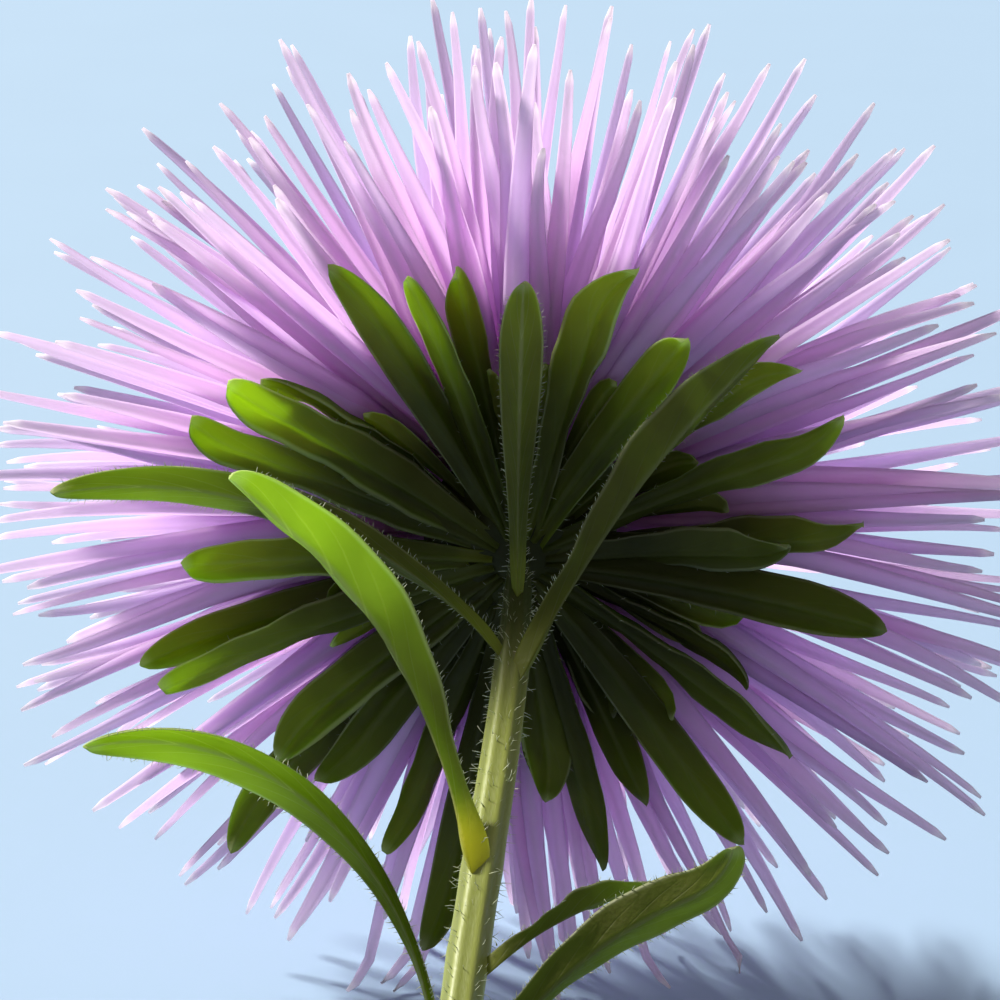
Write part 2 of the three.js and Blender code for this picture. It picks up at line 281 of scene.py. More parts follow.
class AsterColours(bpy.types.PropertyGroup):
    """Colours of the flower and its floor."""

    ray_root: colour_setting("Ray Root", "Petal colour at the core", (0.98, 0.47, 0.96))
    ray_body: colour_setting("Ray Body", "Colour of the inner petals", (0.88, 0.71, 1.0))
    ray_outer: colour_setting("Outer Ray", "Colour of the outer petals", (0.93, 0.61, 0.95))
    ray_tip: colour_setting("Ray Tip", "Colour of petal ends and edges", (0.78, 0.7, 0.84))
    leaf: colour_setting("Leaf", "Leaf colour in plain light", (0.165, 0.178, 0.026))
    leaf_glow: colour_setting("Leaf Glow", "Colour of light through a leaf", (0.58, 0.82, 0.045))
    vein: colour_setting("Vein", "Colour of midribs and veins", (0.42, 0.44, 0.17))
    stem: colour_setting("Stem", "Colour of the stem between its ribs", (0.155, 0.18, 0.026))
    stem_rib: colour_setting("Stem Rib", "Colour of the stem's ribs", (0.25, 0.285, 0.055))
    hair: colour_setting("Hair", "Colour of the hairs", (0.66, 0.7, 0.5))
    disc: colour_setting("Disc", "Colour of the disc florets", (1.0, 0.78, 0.07))
    floor: colour_setting("Floor", "Colour of the floor", (0.27, 0.385, 0.52))


def sizes():
    """The flower's sizes in millimetres, with those that follow from them."""
    own = bpy.context.scene.aster_sizes
    bloom = own.bloom_radius / MM
    stem = own.stem_radius / MM
    core = 0.182 * bloom
    return SimpleNamespace(
        bloom_radius=bloom,
        ring_height=own.ring_height / MM,
        stem_length=own.stem_length / MM,
        stem_radius=stem,
        peduncle_radius=0.55 * stem,
        core_radius=core,
        core_top=RING_DEPTH + core,
        cup_top=RING_DEPTH - 0.5,
        cup_radius=core - 0.2,
        disc_radius=0.42 * core,
        ray_width=own.ray_width / MM,
        ray_count=own.ray_count,
        hair_length=own.hair_length / MM,
    )


def colour(name, share=1.0):
    """A colour of the settings, or a share of it for a darker one."""
    return (*(share * part for part in getattr(bpy.context.scene.aster_colours, name)), 1.0)


# Places round the bloom and along the stem


def around(angle, top=TOP):
    """Outward direction at an angle round an axis: 0 is to the right and 90 is the upper side."""
    across, up = turned(angle)
    return RIGHT * across + top * up


def bloom_base(s):
    return Vector((0, 0, s.ring_height)) - FACE * RING_DEPTH


def on_axis(s, radius, angle, height):
    return bloom_base(s) + FACE * height + around(angle) * radius


def stem_at(s, distance):
    """The stem's centre, direction and upper side at a distance below the bloom."""
    step = 2
    point = bloom_base(s)

    def tilt_at(below):
        return math.radians(mix(BLOOM_TILT, STEM_END_TILT, below / s.stem_length))

    below = 0
    while below < distance - 1e-9:
        length = min(step, distance - below)
        tilt = tilt_at(below + length / 2)
        point.y -= length * math.cos(tilt)
        point.z -= length * math.sin(tilt)
        below += step
    point.x = STEM_BOW * math.sin(math.pi * distance / s.stem_length) ** 2
    tilt = tilt_at(distance)
    return SimpleNamespace(
        point=point,
        face=Vector((0, math.cos(tilt), math.sin(tilt))),
        top=Vector((0, -math.sin(tilt), math.cos(tilt))),
    )


def stem_radius(s, distance, angle):
    """The stem narrows towards the bloom, with low ribs along it. The angle is in radians."""
    narrowing = math.exp(-distance / NECK_LENGTH) * (s.stem_radius - s.peduncle_radius)
    return s.stem_radius - narrowing + RIB_DEPTH * s.stem_radius * math.sin(STEM_RIBS * angle)


def on_floor(point):
    """Flattens whatever would pass through the floor."""
    point.z = max(point.z, 0.0)
    return point


# Spines: the curves that blades and rays follow


def station(point, side, normal):
    return SimpleNamespace(point=point, side=side, normal=normal)


def at(spine, along):
    """The spine's point, side and normal at a share of its length."""
    place = clamp01(along) * (len(spine) - 1)
    low = min(len(spine) - 2, int(place))
    share = place - low
    a, b = spine[low], spine[low + 1]
    return station(
        a.point.lerp(b.point, share),
        a.side.lerp(b.side, share).normalized(),
        a.normal.lerp(b.normal, share).normalized(),
    )


def blade_spine(blade):
    """A blade opens from its start to its end angle, may turn sideways and roll, and hooks at its tip."""
    steps = 24
    across = blade.face.cross(blade.out)
    point = blade.base.copy()
    spine = []
    for i in range(steps + 1):
        share = i / steps
        last_quarter = clamp01(4 * share - 3)
        ahead, away = turned(mix(blade.start, blade.end, share) + blade.hook * last_quarter)
        straight, aside = turned(blade.turn * share + blade.swerve * last_quarter)
        outward = blade.out * straight + across * aside
        direction = blade.face * ahead + outward * away
        side = outward.cross(blade.face).normalized()
        roll = blade.roll * share + blade.tuck * clamp01(4 * share)
        side.rotate(Matrix.Rotation(math.radians(roll), 3, direction))
        spine.append(station(point.copy(), side, side.cross(direction).normalized()))
        point += direction * (blade.length / steps)
    return spine


def ray_spine(s, ray):
    """A ray grows straight out of the core, arches a little and lies along the floor where it meets it."""
    steps = 30
    rest = 0.5 * RAY_THICKNESS
    out = around(ray.angle)
    across = FACE.cross(out)
    level, up = turned(ray.foot)
    root = s.core_radius - RAY_ROOT_DEPTH
    point = bloom_base(s) + FACE * (RING_DEPTH + root * up) + out * (root * level)
    length = ray.reach - s.core_radius + RAY_ROOT_DEPTH
    spine = []
    for i in range(steps + 1):
        share = i / steps
        level, up = turned(ray.lift + ray.arch * (share - 0.5))
        straight, aside = turned(ray.turn * share)
        direction = out * (level * straight) + across * (level * aside) + FACE * up
        steepest = -max(0.0, point.z - rest) / 6
        if direction.z < steepest:
            push = -0.25 if ray.lift < -5 else 0.25
            keep = math.sqrt(1 - steepest * steepest) / math.hypot(direction.x, direction.y + push)
            direction = Vector((direction.x * keep, (direction.y + push) * keep, steepest))
        laid = clamp01(1 - (point.z - rest) / LEVELLING_HEIGHT)
        side = direction.cross(FACE).normalized()
        roll = math.radians(ray.roll * (0.3 + 0.7 * share) * (1 - laid))
        side.rotate(Matrix.Rotation(roll, 3, direction))
        flat = direction.cross(Vector((0, 0, 1))).normalized()
        if flat.dot(side) < 0:
            flat.negate()
        side = side.lerp(flat, laid).normalized()
        spine.append(station(point.copy(), side, side.cross(direction).normalized()))
        point += direction * (length / steps)
    return spine


def blade_outline(along, blade):
    """Share of the full width: a narrow foot, the widest place, then a point, blunter for a small power."""
    if along < blade.widest:
        return mix(blade.foot, 1, math.sin(math.pi / 2 * along / blade.widest) ** blade.waist)
    return max(0.0, math.cos(math.pi / 2 * (along - blade.widest) / (1 - blade.widest))) ** blade.blunt


def ray_outline(along):
    """Share of a ray's full width: a narrow tube at the core, a long taper and a round tip."""
    if along < RAY_WIDEST:
        return mix(0.36, 1, math.sin(math.pi / 2 * along / RAY_WIDEST))
    taper = mix(1, RAY_END_WIDTH, (along - RAY_WIDEST) / (1 - RAY_WIDEST))
    return taper * math.sqrt(1 - 0.85 * clamp01((along - 0.97) / 0.03) ** 2)


# The plan of the flower: every draw is made once, in the order in which the pieces grow.


def plain_blade(**own):
    return SimpleNamespace(**{**PLAIN_BLADE, **own})


def long_bract(s, row, draw):
    angle, length, width, whorl = row
    return plain_blade(
        base=on_axis(s, mix(3.2, 7, whorl), angle, mix(1.1, 3.1, whorl)),
        out=around(angle),
        face=FACE,
        length=length + 2,
        width=width,
        start=mix(88, 86, whorl),
        end=mix(107, 103, whorl),
        roll=14 * draw(),
        fold=13 + 5 * draw(),
        wave=0.25,
        foot=0.46,
        widest=0.74,
        waist=1.2,
        rings=20,
    )


def short_bract(s, index, draw):
    """A bract of the inner ring. Those on its lower right side are longer and wider."""
    angle = (index + 0.3 * draw()) * 360 / SHORT_BRACTS
    lower = 0.5 - 0.5 * math.sin(math.radians(angle - 30))
    return plain_blade(
        base=on_axis(s, 8.6, angle, 4.8),
        out=around(angle),
        face=FACE,
        length=(17 + 3 * draw()) * mix(1, 1.2, lower),
        width=mix(3.6, 5, lower),
        start=86,
        end=103,
        turn=8 * draw(),
        fold=10,
        wave=0,
        foot=0.32,
        widest=0.75,
        rings=8,
    )


def ray_shape(s, index, draw):
    order = (index + 0.5) / s.ray_count
    rank = order**RAY_CROWDING
    lift = mix(RAY_LOWEST, RAY_HIGHEST, rank) + mix(2, 5, rank) * draw()
    shrink = clamp01((lift - 8) / 66) ** 1.5
    return SimpleNamespace(
        angle=index * GOLDEN_ANGLE + 2.5 * draw(),
        lift=lift,
        foot=mix(7, 56, rank),
        reach=s.bloom_radius * (1 - 0.44 * shrink) * (1 + 0.045 * draw()),
        arch=mix(-7, 12, rank) + 5 * draw(),
        turn=7 * draw(),
        roll=34 * draw(),
        width=s.ray_width * (1 - 0.25 * rank) * (1 + 0.14 * draw()),
        rank=rank,
    )


def plan():
    """Every bract of the bloom and its main ray florets. The long bracts come first."""
    s = sizes()
    draw = Draw(SEED)
    bracts = [long_bract(s, row, draw) for row in LONG_BRACTS]
    bracts += [short_bract(s, i, draw) for i in range(SHORT_BRACTS)]
    rays = [ray_shape(s, i, draw) for i in range(s.ray_count)]
    own = Draw(SEED + 1)
    for bract in bracts:
        # Painted light: a bract's shade is partly random, and higher for bracts that face the upper left,
        # towards the key light.
        bract.shade = clamp01(0.45 + 0.3 * own() + 0.3 * bract.out.dot(around(130)))
        bract.fold *= 1.9
        bract.tuck = 30 * own()
        bract.hook = 16 + 34 * own()
        bract.swerve = 44 * own()
        curl = 1.1 * own()
        bract.curl = (max(0.0, -curl), max(0.0, curl))
        bract.wave *= 3 + 1.5 * own()
    return s, bracts, rays


def leaf_plan(s, name):
    """One stem leaf, seated on the stem's skin."""
    leaf = plain_blade(**{**LEAF_HABIT, **LEAVES[name]})
    leaf.clasp = leaf.flare * leaf.width
    leaf.fold *= leaf.crease
    leaf.width *= leaf.swollen
    node = stem_at(s, leaf.below)
    leaf.out = around(leaf.angle, node.top)
    leaf.face = node.face
    leaf.base = node.point + leaf.out * (stem_radius(s, leaf.below, 0) + GAP + BLADE_THICKNESS / 2)
    return leaf


# Meshes


def finished(name, bm):
    """The finished mesh of a shape."""
    mesh = bpy.data.meshes.new(name)
    bm.to_mesh(mesh)
    bm.free()
    return mesh


def towards_tip(power):
    """Spaces a tube's rings closer towards its tip."""
    return lambda share: 1 - (1 - share) ** power


def towards_ends(share):
    """Spaces a tube's rings closer towards its root and its tip."""
    return 0.5 - 0.5 * math.cos(math.pi * share)


def tube(sides, rings, end=1):
    """A closed tube along Z, with a strap that says where each point lies on it."""
    part = bmesh.new()
    strap = part.verts.layers.float_vector.new("strap")
    bmesh.ops.create_cone(part, cap_ends=True, segments=sides, radius1=1, radius2=end, depth=1)
    lengthwise = [edge for edge in part.edges if abs(edge.verts[0].co.z - edge.verts[1].co.z) > 0.5]
    bmesh.ops.subdivide_edges(part, edges=lengthwise, cuts=rings - 1)
    return part, strap


def sweep(bm, sides, rings, place, chance=0.0, space=lambda share: share, bias=1.0, mark=None):
    """Adds a tube. place(along, across, over) gives each point, with across and over on a circle.

    Its strap keeps across, along and chance, or one mark throughout. Bias crowds points to the middle.
    """
    part, strap = tube(sides, rings)
    for v in part.verts:
        along = space(clamp01(v.co.z + 0.5))
        across = -math.copysign(abs(v.co.x) ** bias, v.co.x)
        over = v.co.y
        v.co = place(along, across, over)
        v[strap] = Vector((across, along, chance)) if mark is None else mark
    mesh = finished("tube", part)
    bm.from_mesh(mesh)
    bpy.data.meshes.remove(mesh)


def bloom_place():
    """Takes the flower's own millimetres to the frame, by the middle of the stem's upper end."""
    solid = [v.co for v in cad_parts["stem"].data.vertices]
    reach = max(co.dot(FACE) for co in solid)
    near = 0.05 * MM
    rim = {tuple(round(c, 7) for c in co) for co in solid if reach - co.dot(FACE) < near}
    base = sum((Vector(co) for co in rim), Vector()) / len(rim)
    return Matrix.Translation(base - bloom_base(sizes()) * MM) @ Matrix.Scale(MM, 4)


def piece(bm, name, material, nodes=()):
    """Finishes a mesh as a piece of the flower, in the frame's place."""
    bmesh.ops.recalc_face_normals(bm, faces=bm.faces)
    for face in bm.faces:
        face.smooth = True
    bm.transform(bloom_place())
    mesh = finished(name, bm)
    mesh.materials.append(material)
    made = bpy.data.objects.new(name, mesh)
    bpy.context.scene.collection.objects.link(made)
    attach(made, "root")
    if nodes:
        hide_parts(*nodes)


def blade_swell(blade, along):
    """A stem leaf widens where it clasps the stem."""
    away = along * blade.length / FOOT_LENGTH
    return blade.clasp * away * math.exp(1 - away)


def blade_half(blade, along):
    """Half the width of a leaf or bract, with its teeth."""
    count = 1 - (1 - along) ** (1 / TOOTH_SPACING)
    ripple = math.cos(math.pi * TEETH * count) * math.sin(math.pi * along)
    half = blade.width / 2 * blade_outline(along, blade)
    half = half * (1 + blade.teeth * ripple) + blade_swell(blade, along)
    return max(0.15, half * (1 - FOOT_PINCH * blade.seated * math.exp(-along * blade.length / 2)))


def blade_point(blade, spine, along, across, lift=0.0):
    """A point on a blade's sheet, folded along its midrib and waved at its edges."""
    across_fold, up_fold = turned(blade.fold)
    here = at(spine, along)
    half = blade_half(blade, along)
    crease = math.sqrt(across * across + SOFT_FOLD**2) - SOFT_FOLD
    edge = math.copysign(1, across)
    ruffle = 0.35 * math.sin(31 * along + 3 * edge) * math.sin(math.pi * along)
    wave = blade.wave * across * across * (math.sin(9 * along + 2 * edge) + ruffle)
    curled = blade.curl[across > 0] * clamp01(abs(across) - CURL_FROM) ** 2
    rise = crease * half * up_fold + wave + lift - 4 * half * curled
    return here.point + here.side * (across * half * across_fold) + here.normal * rise


def grow_blade(bm, blade, sides):
    """A folded leaf or bract, whose midrib stands out on its back. A leaf's foot clasps the stem."""
    spine = blade_spine(blade)

    def place(along, across, over):
        half = blade_half(blade, along)
        midrib = math.exp(-((across * half / MIDRIB_WIDTH) ** 2))
        wall = mix(0.3, 0.2, along) + 0.5 * blade_swell(blade, along)
        if over < 0:
            wall += mix(0.7, 0.2, along) * midrib
        pucker = 0.05 * half * math.sin(30 * along - 4 * abs(across)) * math.sin(math.pi * abs(across))
        point = blade_point(blade, spine, along, across, pucker + over * wall)
        if blade.seated:
            away = along * blade.length
            clasp = math.exp(-away / CLASP_LENGTH) * (across * half) ** 2 / 4.3
            point -= blade.out * (FOOT_SINK * math.exp(-away / SINK_LENGTH) + clasp)
            point -= blade.face * (FOOT_SLIDE * math.exp(-away / FOOT_LENGTH))
        return on_floor(point)

    space = towards_ends if blade.seated else towards_tip(1.5)
    sweep(bm, sides, blade.rings, place, blade.shade, space, bias=1.5)


def grow_ray(bm, s, ray, chance):
    """A ray floret: a narrow tube at its foot, then a folded strap that opens towards its round tip."""
    spine = ray_spine(s, ray)

    def place(along, across, over):
        here = at(spine, along)
        half = max(0.1, ray.chord / 2 * ray_outline(along))
        level, up = turned(mix(76, ray.fold, clamp01(along / 0.4)))
        arm = 0.8 * (math.sqrt(across * across + 0.02) - 0.14) + 0.2 * across * across
        depth = half * min(up / level, 1.7)
        wall = over * mix(0.26, 0.16, along)
        lean = max(-1.0, min(1.0, 1.6 * across))
        x = half * across - wall * up * lean
        z = depth * (arm - 0.4) + wall * mix(1, level, abs(lean))
        x += ray.sway * along * math.sin(5 * along + 9 * chance)
        return on_floor(here.point + here.side * x + here.normal * z)

    sweep(bm, 8, 9, place, chance, towards_tip(1.6))


def turned_shape(bm, s, profile, sides, mark):
    """A closed shape turned on the bloom's axis, from (radius, height) points listed upwards."""
    count = len(profile) - 1
    base = bloom_base(s)

    def place(along, across, over):
        radius, height = profile[round(along * count)]
        return base + FACE * height + (RIGHT * -across + TOP * over) * radius

    sweep(bm, sides, count, place, mark=mark)


def hair_shape(radius):
    """One fine hair of unit length along Z, tapering and bent at its end."""
    part, strap = tube(3, 2, 0.3)
    bmesh.ops.recalc_face_normals(part, faces=part.faces)
    for v in part.verts:
        v.co.z += 0.5
        v[strap].y = v.co.z
        v.co.x = radius * v.co.x + 0.35 * v.co.z**2
        v.co.y *= radius
    return finished("hair", part)


def grow_hair(bm, hair, root, direction, length, twist):
    """Sets one hair on a surface, a little sunk into it."""
    turn = direction.to_track_quat("Z", "Y").to_matrix().to_4x4()
    spin = Matrix.Rotation(twist, 4, "Z")
    place = Matrix.Translation(root - direction * (0.1 * length)) @ turn @ spin @ Matrix.Scale(length, 4)
    hair.transform(place)
    bm.from_mesh(hair)
    hair.transform(place.inverted())


# Materials


def feed(tree, socket, value):
    """Links a value to a socket, or sets it there."""
    if isinstance(value, bpy.types.NodeSocket):
        tree.links.new(value, socket)
    else:
        socket.default_value = value


def add(tree, kind, inputs=None, **settings):
    """A shader node with its settings and its input values or links."""
    made = tree.nodes.new(kind)
    for name, value in settings.items():
        setattr(made, name, value)
    for name, value in (inputs or {}).items():
        feed(tree, made.inputs[name], value)
    return made


def maths(tree, operation, a, b=0.0):
    return add(tree, "ShaderNodeMath", {0: a, 1: b}, operation=operation).outputs[0]


def times(tree, a, b):
    return maths(tree, "MULTIPLY", a, b)


def stretched(tree, vector, scale):
    return add(tree, "ShaderNodeVectorMath", {0: vector, 1: scale}, operation="MULTIPLY").outputs[0]


def ranged(tree, value, low, high, to_low=0.0, to_high=1.0):
    """Takes a value from one range to another, smoothly and clamped."""
    inputs = {"Value": value, "From Min": low, "From Max": high, "To Min": to_low, "To Max": to_high}
    return add(tree, "ShaderNodeMapRange", inputs, interpolation_type="SMOOTHSTEP").outputs["Result"]


def blend(tree, share, first, second):
    """One colour over another, by a share from 0 to 1."""
    made = add(tree, "ShaderNodeMix", data_type="RGBA")
    for index, value in ((0, share), (6, first), (7, second)):
        feed(tree, made.inputs[index], value)
    return made.outputs[2]


def toned(tree, body, value):
    """A colour made darker or brighter."""
    return add(tree, "ShaderNodeHueSaturation", {"Color": body, "Value": value}).outputs[0]


def group(name, inputs, outputs):
    """A new node group, from the kinds of its inputs and the names of its float outputs."""
    tree = bpy.data.node_groups.new(name, "ShaderNodeTree")
    for label, kind in inputs.items():
        tree.interface.new_socket(label, in_out="INPUT", socket_type=kind)
    for label in outputs:
        tree.interface.new_socket(label, in_out="OUTPUT", socket_type="NodeSocketFloat")
    return tree, tree.nodes.new("NodeGroupInput").outputs, tree.nodes.new("NodeGroupOutput").inputs


def mottle_group():
    """Soft uneven values in coarse cells of a given size, and in grain six times as fine."""
    name = "plant_mottle"
    if name in bpy.data.node_groups:
        return bpy.data.node_groups[name]
    inputs = {"Place": "NodeSocketVector", "Scale": "NodeSocketFloat"}
    tree, start, end = group(name, inputs, ["Mottle", "Grain"])
    coarse = {"Vector": start["Place"], "Scale": start["Scale"]}
    fine = {"Vector": start["Place"], "Scale": times(tree, start["Scale"], 6.0), "Detail": 3.0}
    for label, noise in (("Mottle", coarse), ("Grain", fine)):
        feed(tree, end[label], add(tree, "ShaderNodeTexNoise", noise).outputs["Fac"])
    return tree


def vein_group():
    """Midrib, side veins, edge and tip of a blade, from its strap: x across it and y along it."""
    name = "blade_veins"
    if name in bpy.data.node_groups:
        return bpy.data.node_groups[name]
    inputs = {"Strap": "NodeSocketVector", "Side Veins": "NodeSocketFloat"}
    tree, start, end = group(name, inputs, ["Midrib", "Veins", "Edge", "Tip"])
    parts = add(tree, "ShaderNodeSeparateXYZ", {0: start["Strap"]}).outputs
    aside = maths(tree, "ABSOLUTE", parts[0])
    slanted = maths(tree, "SUBTRACT", parts[1], times(tree, aside, 0.3))
    wave = maths(tree, "FRACT", times(tree, slanted, start["Side Veins"]))
    ridge = maths(tree, "ABSOLUTE", maths(tree, "SUBTRACT", wave, 0.5))
    line = ranged(tree, ridge, 0.09, 0.0)
    feed(tree, end["Midrib"], ranged(tree, aside, 0.14, 0.03))
    feed(tree, end["Veins"], times(tree, line, ranged(tree, aside, 0.85, 0.4)))
    feed(tree, end["Edge"], ranged(tree, aside, 0.86, 0.98))
    feed(tree, end["Tip"], ranged(tree, parts[1], 0.95, 1.0))
    return tree


def use(tree, shared_tree, inputs):
    """Places a node group in a material."""
    return add(tree, "ShaderNodeGroup", inputs, node_tree=shared_tree).outputs


def mottled(tree, scale, stretch=None):
    """Mottle and grain in a piece's own place, drawn out along it if asked."""
    place = add(tree, "ShaderNodeTexCoord").outputs["Object"]
    if stretch:
        place = stretched(tree, place, stretch)
    return use(tree, mottle_group(), {"Place": place, "Scale": scale})


def strap_of(tree):
    """A piece's strap, and its parts: across, along and chance."""
    strap = add(tree, "ShaderNodeAttribute", attribute_name="strap").outputs["Vector"]
    return strap, add(tree, "ShaderNodeSeparateXYZ", {0: strap}).outputs


def new_material(name):
    made = bpy.data.materials.new(name)
    made.use_nodes = True
    tree = made.node_tree
    tree.nodes.clear()
    return made, tree


def finish_material(tree, base, glow, share, roughness, height, bump, sheen=0.0, gloss=0.5):
    """Joins a surface and the light that comes through it."""
    relief = add(tree, "ShaderNodeBump", {"Strength": bump[0], "Distance": bump[1], "Height": height})
    values = {
        "Base Color": base,
        "Roughness": roughness,
        "Normal": relief.outputs["Normal"],
        "Sheen Weight": sheen,
        "Sheen Roughness": 0.4,
        "Specular IOR Level": gloss,
    }
    surface = add(tree, "ShaderNodeBsdfPrincipled", values)
    through = add(tree, "ShaderNodeBsdfTranslucent", {"Color": glow})
    both = add(tree, "ShaderNodeMixShader", {0: share, 1: surface.outputs[0], 2: through.outputs[0]})
    add(tree, "ShaderNodeOutputMaterial", {"Surface": both.outputs[0]})


def ray_material():
    """Lilac petal: deep at its foot, pale at its end, pale at its edges partly as a painted highlight, white
    at its point, finely lined.
    """
    made, tree = new_material("ray_petal")
    strap, (across, along, chance) = strap_of(tree)
    mottle = mottled(tree, 220.0)
    lines = {"Vector": stretched(tree, strap, (5.0, 0.7, 40.0)), "Scale": 1.6, "Detail": 2.0}
    streak = add(tree, "ShaderNodeTexNoise", lines).outputs["Fac"]
    body = blend(tree, ranged(tree, chance, 0.05, 0.55), colour("ray_outer"), colour("ray_body"))
    body = blend(tree, ranged(tree, along, 0.08, 0.42), colour("ray_root"), body)
    body = blend(tree, ranged(tree, along, 0.6, 1.0), body, colour("ray_tip"))
    # Pale edges: partly the petal's thin margin, partly a painted highlight.
    edge = times(tree, ranged(tree, maths(tree, "ABSOLUTE", across), 0.55, 1.0), 0.45)
    body = blend(tree, edge, body, colour("ray_tip"))
    body = blend(tree, times(tree, ranged(tree, streak, 0.5, 0.3), 0.14), body, colour("ray_root"))
    body = blend(tree, ranged(tree, along, 0.955, 0.985), body, PETAL_POINT)
    uneven = maths(tree, "ADD", times(tree, mottle["Mottle"], 0.5), chance)
    body = toned(tree, body, ranged(tree, uneven, 0.0, 1.5, 0.82, 1.14))
    glow = blend(tree, ranged(tree, along, 0.1, 0.5, 0.25, 0.6), body, PETAL_LIGHT)
    finish_material(tree, body, glow, 0.72, 0.55, streak, (0.35, 0.0003), 0.15)
    return made


def blade_material(name, leaf, side_veins, pale, painted_foot_darkness, through):
    """Green blade: paler midrib, veins and thin edge, yellow-green light through it, and the stem's own
    colour at its foot. It carries painted light: painted shade that darkens it towards its foot, a shade
    value that paints it darker or brighter, and a foot painted yellow as sunlit on a leaf in full light."""
    made, tree = new_material(name)
    strap, (_, along, shade) = strap_of(tree)
    mottle = mottled(tree, 260.0)
    veins = use(tree, vein_group(), {"Strap": strap, "Side Veins": side_veins})
    lighter = [c * 1.35 for c in leaf[:3]] + [1.0]
    body = blend(tree, ranged(tree, mottle["Mottle"], 0.3, 0.7), leaf, lighter)
    body = blend(tree, times(tree, veins["Veins"], 0.05 * pale), body, colour("vein"))
    body = blend(tree, times(tree, veins["Midrib"], 0.75 * pale), body, colour("vein"))
    rim = maths(tree, "MAXIMUM", times(tree, veins["Edge"], 0.8), times(tree, veins["Tip"], 0.6))
    body = blend(tree, times(tree, rim, ranged(tree, along, 0.05, 0.3)), body, BLADE_RIM)
    glow = blend(tree, times(tree, veins["Midrib"], 0.7 * pale), colour("leaf_glow"), MIDRIB_LIGHT)
    glow = blend(tree, times(tree, veins["Veins"], 0.6 * pale), glow, VEIN_LIGHT)
    # Painted shade: the blade darkens from its tip towards its foot, and its shade value makes it darker or
    # brighter, on its surface and in the light through it.
    painted_foot_shade = ranged(tree, along, 0.3, 0.85, painted_foot_darkness, 1.0)
    body = toned(tree, body, times(tree, ranged(tree, shade, 0.0, 1.0, 0.55, 1.25), painted_foot_shade))
    glow = toned(tree, glow, times(tree, ranged(tree, shade, 0.0, 1.0, 0.55, 1.3), painted_foot_shade))
    foot = ranged(tree, along, 0.15, 0.02)
    # Painted sunlight: a leaf with a high shade value gets a yellow foot, on its surface and in the light
    # through it.
    painted_sun_on_foot = times(tree, foot, ranged(tree, shade, 0.7, 1.0, 0.1, 1.0))
    body = blend(tree, times(tree, foot, 0.95 * pale - 0.15), body, colour("stem"))
    body = blend(tree, times(tree, painted_sun_on_foot, 0.6 * pale), body, PAINTED_SUNLIT_FOOT)
    glow = blend(tree, times(tree, painted_sun_on_foot, 0.9 * pale), glow, PAINTED_SUNLIT_FOOT_GLOW)
    roughness = ranged(tree, mottle["Grain"], 0.3, 0.7, 0.42, 0.6)
    height = maths(tree, "ADD", times(tree, veins["Veins"], -0.25), mottle["Grain"])
    finish_material(tree, body, glow, through, roughness, height, (0.5, 0.0002), gloss=0.2)
    return made


def stem_material():
    """Ribbed stem: pale ribs over olive furrows, a neck darkened by painted shade under the bloom, and a
    pale pith where it is cut.
    """
    made, tree = new_material("stem_skin")
    _, (rib, along, cut) = strap_of(tree)
    mottle = mottled(tree, 700.0, stretch=(1.0, 0.08, 1.0))
    body = blend(tree, ranged(tree, rib, -0.8, 1.4), colour("stem"), colour("stem_rib"))
    body = blend(tree, ranged(tree, mottle["Mottle"], 0.4, 0.75, 0.0, 0.18), body, colour("stem_rib"))
    # Painted shade: the stem darkens in its last stretch under the bloom.
    body = blend(tree, ranged(tree, along, 0.82, 0.97), body, PAINTED_NECK_SHADE)
    body = blend(tree, cut, body, STEM_PITH)
    glow = blend(tree, 0.5, body, colour("leaf_glow"))
    roughness = ranged(tree, mottle["Grain"], 0.3, 0.7, 0.38, 0.55)
    finish_material(tree, body, glow, 0.08, roughness, mottle["Grain"], (0.2, 0.0002))
    return made


def disc_material():
    """Yellow floret tubes: darker at their feet, bright at their mouths, deeper towards the rim."""
    made, tree = new_material("disc_tube")
    _, (_, along, spread) = strap_of(tree)
    mottle = mottled(tree, 900.0)
    mouth = blend(tree, spread, DISC_RIM, colour("disc"))
    body = blend(tree, ranged(tree, along, 0.2, 0.75), DISC_FOOT, mouth)
    body = blend(tree, ranged(tree, mottle["Mottle"], 0.3, 0.7, 0.0, 0.2), body, DISC_FLECK)
    finish_material(tree, body, mouth, 0.25, 0.55, mottle["Grain"], (0.3, 0.0001))
    return made


def hair_material():
    """Fine hairs: nearly white, greener at their roots."""
    made, tree = new_material("hair_white")
    _, (_, along, _) = strap_of(tree)
    mottle = mottled(tree, 2000.0)
    body = blend(tree, ranged(tree, along, 0.0, 0.5), HAIR_ROOT, colour("hair"))
    finish_material(tree, body, body, 0.35, 0.5, mottle["Grain"], (0.2, 0.0001))
    return made


def floor_material():
    """Plain pale floor with a faint, soft unevenness."""
    made, tree = new_material("floor_pale")
    mottle = mottled(tree, 30.0)
    body = blend(tree, mottle["Mottle"], colour("floor", 0.97), colour("floor"))
    relief = add(tree, "ShaderNodeBump", {"Strength": 0.05, "Distance": 0.0002, "Height": mottle["Grain"]})
    values = {"Base Color": body, "Roughness": 0.8, "Normal": relief.outputs["Normal"]}
    surface = add(tree, "ShaderNodeBsdfPrincipled", values)
    add(tree, "ShaderNodeOutputMaterial", {"Surface": surface.outputs[0]})
    return made


def leaf_green():
    return blade_material("leaf_blade", colour("leaf"), 8.0, 1.0, 0.6, 0.48)


# Bracts take the leaf colour at 0.7, darkened as painted shade of the bloom over them, with more painted
# shade towards their foot.
def bract_green():
    return blade_material("bract_blade", colour("leaf", 0.7), 5.0, 0.2, 0.4, 0.54)


# Operators


